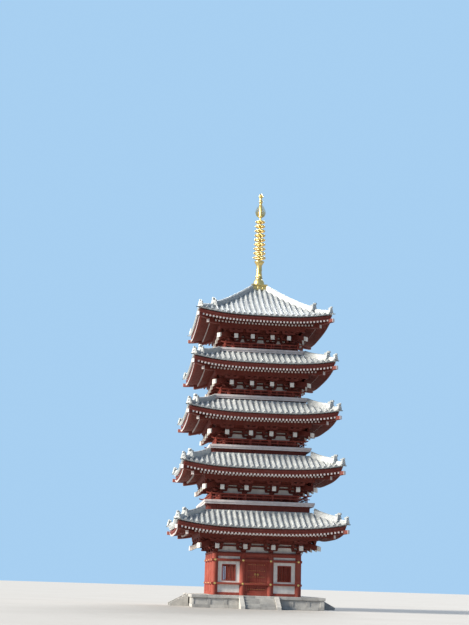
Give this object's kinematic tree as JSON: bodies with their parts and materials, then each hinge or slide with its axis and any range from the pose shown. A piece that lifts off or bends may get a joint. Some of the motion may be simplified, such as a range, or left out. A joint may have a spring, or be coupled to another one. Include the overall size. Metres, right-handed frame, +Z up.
{
  "type": "five-storey pagoda",
  "caption": "Square timber tower of stacked tiled roofs with upturned corners, bracketed eaves, railed balconies, a stone platform and a gilt ringed finial.",
  "frame": {"origin": "on the ground under the middle of the tower, bottom centre of the whole object", "axes": "+Z up along the tower's axis, -Y the front side, +X to the right seen from the front"},
  "size_m": [11.5914, 11.5914, 30.9828],
  "materials": {
    "stone": "tooled grey stone",
    "red_timber": "timber painted with a matt vermilion coat",
    "white_plaster": "matt lime plaster",
    "roof_tile": "pale grey fired clay, slightly silvery",
    "gilt_metal": "gilt, softly weathered"
  },
  "bodies": {
    "root": {"stone_platform": "stone", "storey_1_frame": "red_timber", "front_steps": "stone", "front_doors": "red_timber", "front_wall_left": "white_plaster", "front_wall_right": "white_plaster", "right_steps": "stone", "right_doors": "red_timber", "right_wall_left": "white_plaster", "right_wall_right": "white_plaster", "back_steps": "stone", "back_doors": "red_timber", "back_wall_left": "white_plaster", "back_wall_right": "white_plaster", "left_steps": "stone", "left_doors": "red_timber", "left_wall_left": "white_plaster", "left_wall_right": "white_plaster", "storey_1_brackets": "red_timber", "storey_1_eaves": "red_timber", "storey_1_roof": "roof_tile", "storey_2_body": "red_timber", "storey_2_balcony": "red_timber", "storey_2_railing": "red_timber", "storey_2_brackets": "red_timber", "storey_2_eaves": "red_timber", "storey_2_roof": "roof_tile", "storey_3_body": "red_timber", "storey_3_balcony": "red_timber", "storey_3_railing": "red_timber", "storey_3_brackets": "red_timber", "storey_3_eaves": "red_timber", "storey_3_roof": "roof_tile", "storey_4_body": "red_timber", "storey_4_balcony": "red_timber", "storey_4_railing": "red_timber", "storey_4_brackets": "red_timber", "storey_4_eaves": "red_timber", "storey_4_roof": "roof_tile", "storey_5_body": "red_timber", "storey_5_balcony": "red_timber", "storey_5_railing": "red_timber", "storey_5_brackets": "red_timber", "storey_5_eaves": "red_timber", "storey_5_roof": "roof_tile", "finial_box": "gilt_metal", "finial_bowl": "gilt_metal", "finial_lotus": "gilt_metal", "finial_mast_and_rings": "gilt_metal", "finial_flame": "gilt_metal", "finial_ball": "gilt_metal", "finial_jewel": "gilt_metal"}
  },
  "joints": []
}
